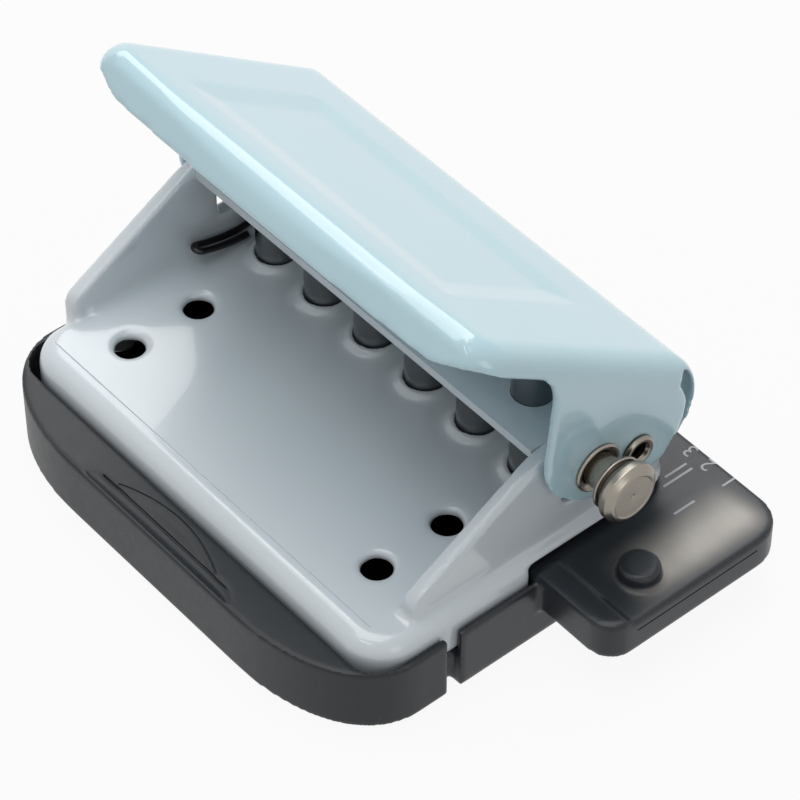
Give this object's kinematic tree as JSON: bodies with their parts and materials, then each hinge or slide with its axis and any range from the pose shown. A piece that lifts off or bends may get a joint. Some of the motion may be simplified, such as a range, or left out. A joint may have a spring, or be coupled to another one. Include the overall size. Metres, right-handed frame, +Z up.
{
  "type": "hole punch",
  "caption": "Desk hole punch with a row of round pins, a pressed lever, a see-through smoke base with side paper guide, and a pull-out chip tray.",
  "frame": {"origin": "on the table, straight under the middle of the pin row", "axes": "+X along the pin row towards the lock knob and the paper guide, +Y towards the hinge and the side where paper goes in, +Z up"},
  "size_m": [0.0845, 0.0586, 0.0498],
  "materials": {
    "white_paint": "gloss",
    "blue_paint": "gloss",
    "smoke_plastic": "gloss",
    "smoke_tray": "satin",
    "pin_steel": "polished",
    "die_steel": "satin",
    "screw_steel": "satin",
    "nickel": "brushed",
    "spring_steel": "satin"
  },
  "bodies": {
    "frame": {"frame_body": "white_paint", "guide_bridge": "white_paint", "die_plate": "die_steel", "die_screws": "screw_steel", "base_shell": "smoke_plastic", "base_screws": "screw_steel", "pivot_pin_left": "nickel", "pivot_pin_right": "nickel", "spring_left": "spring_steel", "spring_right": "spring_steel"},
    "lever": {"lever": "blue_paint", "drive_rod": "nickel", "rod_clip": "spring_steel", "ear_eyelet": "nickel"},
    "lock_knob": {"lock_knob": "nickel", "knob_ring": "nickel"},
    "chip_tray": {"chip_tray": "smoke_tray"},
    "punch_pin_1": {"punch_pin_1": "pin_steel"},
    "punch_pin_2": {"punch_pin_2": "pin_steel"},
    "punch_pin_3": {"punch_pin_3": "pin_steel"},
    "punch_pin_4": {"punch_pin_4": "pin_steel"},
    "punch_pin_5": {"punch_pin_5": "pin_steel"},
    "punch_pin_6": {"punch_pin_6": "pin_steel"}
  },
  "joints": [
    {"name": "lever_hinge", "type": "hinge", "parent": "frame", "child": "lever", "pos_m": [0, 0.0059, 0.0203], "axis": [1, 0, 0], "range_deg": [0, 35], "stiffness_Nm_per_rad": 0.05, "springref_deg": -45.84, "deforming": ["spring_left", "spring_right"]},
    {"name": "knob_push", "type": "slide", "parent": "lever", "child": "lock_knob", "axis": [-1, 0, 0], "range_m": [0, 0.0022]},
    {"name": "tray_slide", "type": "slide", "parent": "frame", "child": "chip_tray", "axis": [0, -1, 0], "range_m": [0, 0.028]},
    {"name": "pin_stroke_1", "type": "slide", "parent": "frame", "child": "punch_pin_1", "axis": [0, 0, -1], "range_m": [0, 0.00389]},
    {"name": "pin_stroke_2", "type": "slide", "parent": "frame", "child": "punch_pin_2", "axis": [0, 0, -1], "range_m": [0, 0.00389]},
    {"name": "pin_stroke_3", "type": "slide", "parent": "frame", "child": "punch_pin_3", "axis": [0, 0, -1], "range_m": [0, 0.00389]},
    {"name": "pin_stroke_4", "type": "slide", "parent": "frame", "child": "punch_pin_4", "axis": [0, 0, -1], "range_m": [0, 0.00389]},
    {"name": "pin_stroke_5", "type": "slide", "parent": "frame", "child": "punch_pin_5", "axis": [0, 0, -1], "range_m": [0, 0.00389]},
    {"name": "pin_stroke_6", "type": "slide", "parent": "frame", "child": "punch_pin_6", "axis": [0, 0, -1], "range_m": [0, 0.00389]}
  ],
  "couplings": [
    {"joint": "pin_stroke_1", "follows": "lever_hinge", "m_per_rad": 0.0063369},
    {"joint": "pin_stroke_2", "follows": "lever_hinge", "m_per_rad": 0.0063369},
    {"joint": "pin_stroke_3", "follows": "lever_hinge", "m_per_rad": 0.0063369},
    {"joint": "pin_stroke_4", "follows": "lever_hinge", "m_per_rad": 0.0063369},
    {"joint": "pin_stroke_5", "follows": "lever_hinge", "m_per_rad": 0.0063369},
    {"joint": "pin_stroke_6", "follows": "lever_hinge", "m_per_rad": 0.0063369}
  ]
}
